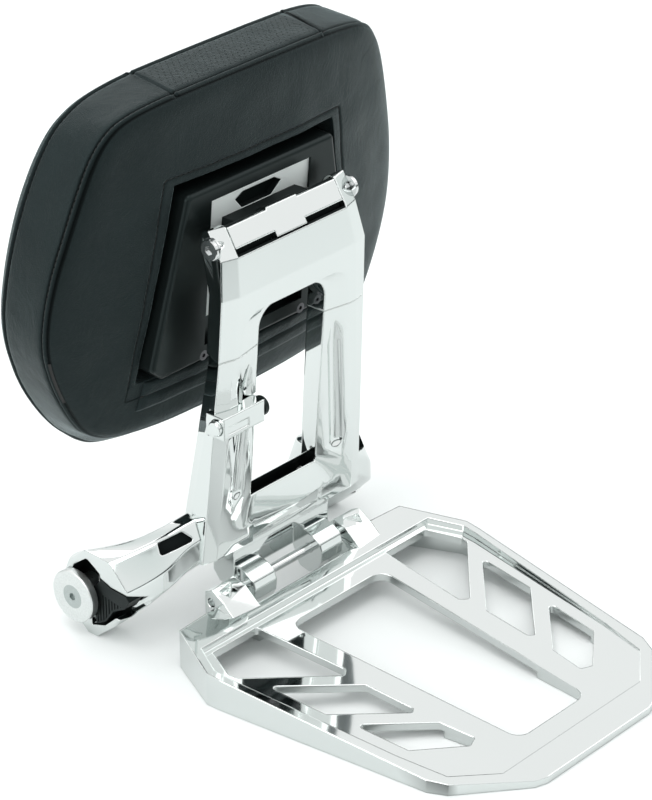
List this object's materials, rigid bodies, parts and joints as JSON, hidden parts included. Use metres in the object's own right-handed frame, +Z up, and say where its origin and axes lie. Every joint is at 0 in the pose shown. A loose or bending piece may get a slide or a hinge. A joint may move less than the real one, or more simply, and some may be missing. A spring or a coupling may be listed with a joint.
{
  "type": "motorcycle driver backrest",
  "caption": "Detachable driver backrest: crowned leather pad on a tilting, height-set plate, chromed U frame with folding rear rack, and two arms ending in docking discs with thumb levers.",
  "frame": {"origin": "centre of the footprint, on the floor plane", "axes": "+X to the rider's right, +Y forward to the front of the pad, +Z up"},
  "size_m": [0.284, 0.3259, 0.3431],
  "materials": {
    "bright_cast": "bright chrome plating on cast metal",
    "turned_steel": "turned steel, bright plated",
    "bright_plate": "bright chrome plating on sheet steel",
    "dark_steel": "dark oxide steel",
    "moulded_black": "moulded black, fine texture",
    "lever_black": "ribbed black nylon",
    "board_wood": "plain plywood",
    "black_leather": "grained black upholstery",
    "strap_leather": "grained black strap"
  },
  "bodies": {
    "frame_lower": {"lower_frame": "bright_cast", "hinge_block": "bright_cast", "hinge_rod": "turned_steel", "left_block_bolt": "dark_steel", "right_block_bolt": "dark_steel", "latch_housing": "bright_cast", "latch_spring": "dark_steel", "left_arm": "bright_cast", "right_arm": "bright_cast", "left_arm_bolt": "dark_steel", "right_arm_bolt": "dark_steel", "left_dock_disc": "turned_steel", "right_dock_disc": "turned_steel", "left_disc_bolt": "turned_steel", "right_disc_bolt": "turned_steel", "left_lever_pin": "turned_steel", "right_lever_pin": "turned_steel", "left_lever_spring": "dark_steel", "right_lever_spring": "dark_steel"},
    "rack": {"luggage_rack": "bright_cast"},
    "frame_upper": {"upper_frame": "bright_cast", "left_post": "turned_steel", "right_post": "turned_steel", "tilt_axle": "turned_steel", "left_pivot_bolt": "turned_steel", "right_pivot_bolt": "turned_steel", "left_pivot_washer": "turned_steel", "right_pivot_washer": "turned_steel"},
    "tilt": {"hinge_barrel": "bright_cast", "slide_plate": "bright_plate"},
    "pad": {"pad_housing": "moulded_black", "pad_board": "board_wood", "pad_cushion": "black_leather", "pad_strap": "strap_leather", "housing_screws": "dark_steel"},
    "button": {"latch_button": "bright_cast", "latch_cap": "moulded_black"},
    "left_lever": {"left_release_lever": "lever_black"},
    "right_lever": {"right_release_lever": "lever_black"}
  },
  "joints": [
    {"name": "rack_fold", "type": "hinge", "parent": "frame_lower", "child": "rack", "pos_m": [0, 0.07639, 0.0263], "axis": [-1, 0, 0], "range_deg": [0, 85]},
    {"name": "frame_height", "type": "slide", "parent": "frame_lower", "child": "frame_upper", "axis": [0, -0.0715, 0.9974], "range_m": [0, 0.04]},
    {"name": "pad_tilt", "type": "hinge", "parent": "frame_upper", "child": "tilt", "pos_m": [0, 0.07839, 0.2515], "axis": [1, 0, 0], "range_deg": [-5, 20]},
    {"name": "pad_height", "type": "slide", "parent": "tilt", "child": "pad", "axis": [0, -0.0872, 0.9962], "range_m": [0, 0.02]},
    {"name": "latch_press", "type": "slide", "parent": "frame_lower", "child": "button", "axis": [1, 0, 0], "range_m": [0, 0.002], "stiffness_N_per_m": 600},
    {"name": "left_lever_swing", "type": "hinge", "parent": "frame_lower", "child": "left_lever", "pos_m": [-0.0995, 0.13089, 0.0244], "axis": [0, 0, -1], "range_deg": [0, 12], "stiffness_Nm_per_rad": 0.5},
    {"name": "right_lever_swing", "type": "hinge", "parent": "frame_lower", "child": "right_lever", "pos_m": [0.0995, 0.13089, 0.0244], "axis": [0, 0, 1], "range_deg": [0, 12], "stiffness_Nm_per_rad": 0.5}
  ]
}
